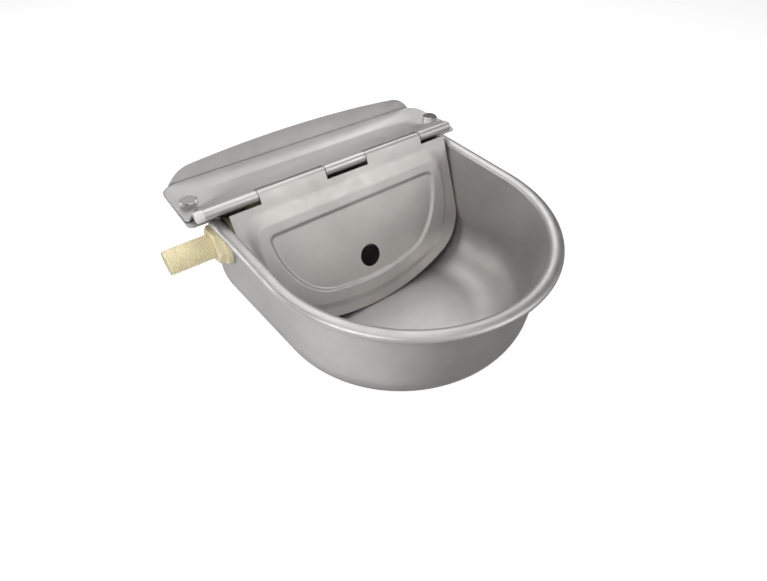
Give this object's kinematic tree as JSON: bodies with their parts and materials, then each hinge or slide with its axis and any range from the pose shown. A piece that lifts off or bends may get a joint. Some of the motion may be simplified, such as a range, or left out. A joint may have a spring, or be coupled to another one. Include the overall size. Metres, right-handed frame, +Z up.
{
  "type": "livestock drinking bowl",
  "caption": "Wall-mounted stainless steel animal drinking bowl with a rolled rim, a hinged cover over a plastic float valve and a threaded side inlet",
  "frame": {"origin": "on the bowl's back face, midway between the two wall holes", "axes": "+X to the right seen from the front, +Y back into the wall, +Z up"},
  "size_m": [0.2994, 0.2693, 0.1343],
  "materials": {
    "sheet_steel": "satin pressed stainless sheet",
    "pin_steel": "drawn bare steel rod",
    "bolt_steel": "bright plated",
    "white_cap": "smooth moulded",
    "valve_plastic": "ivory moulded plastic",
    "lever_plastic": "cream moulded plastic",
    "float_plastic": "blow-moulded white",
    "black_rubber": "moulded"
  },
  "bodies": {
    "bowl_body": {"bowl": "sheet_steel", "top_plate": "sheet_steel", "hinge_pin": "pin_steel", "pin_cap": "white_cap", "bolt_left": "bolt_steel", "bolt_right": "bolt_steel", "washer_left": "bolt_steel", "washer_right": "bolt_steel", "nut_left": "bolt_steel", "nut_right": "bolt_steel", "valve_body": "valve_plastic", "gasket": "black_rubber", "lock_nut": "valve_plastic", "union_ring": "valve_plastic", "yoke": "valve_plastic", "lever_pin": "pin_steel"},
    "cover_body": {"cover": "sheet_steel"},
    "lever_body": {"lever": "lever_plastic"},
    "arm_body": {"float_arm": "lever_plastic", "float": "float_plastic", "knuckle_screw": "bolt_steel", "knuckle_nut": "bolt_steel"},
    "plunger_body": {"plunger": "lever_plastic", "plunger_seal": "black_rubber"}
  },
  "joints": [
    {"name": "cover_hinge", "type": "hinge", "parent": "bowl_body", "child": "cover_body", "pos_m": [0, -0.0705, 0.0332], "axis": [-1, 0, 0], "range_deg": [0, 159]},
    {"name": "float_lever", "type": "hinge", "parent": "bowl_body", "child": "lever_body", "pos_m": [-0.0522, -0.0615, -0.0105], "axis": [0, -1, 0], "range_deg": [0, 10]},
    {"name": "plunger_slide", "type": "slide", "parent": "bowl_body", "child": "plunger_body", "axis": [-1, 0, 0], "range_m": [0, 0.00139]},
    {"name": "arm_knuckle", "type": "hinge", "parent": "lever_body", "child": "arm_body", "pos_m": [-0.03152, -0.0615, -0.03141], "axis": [0, -1, 0], "range_deg": [-2, 6]}
  ],
  "couplings": [
    {"joint": "plunger_slide", "follows": "float_lever", "m_per_rad": 0.00796}
  ]
}
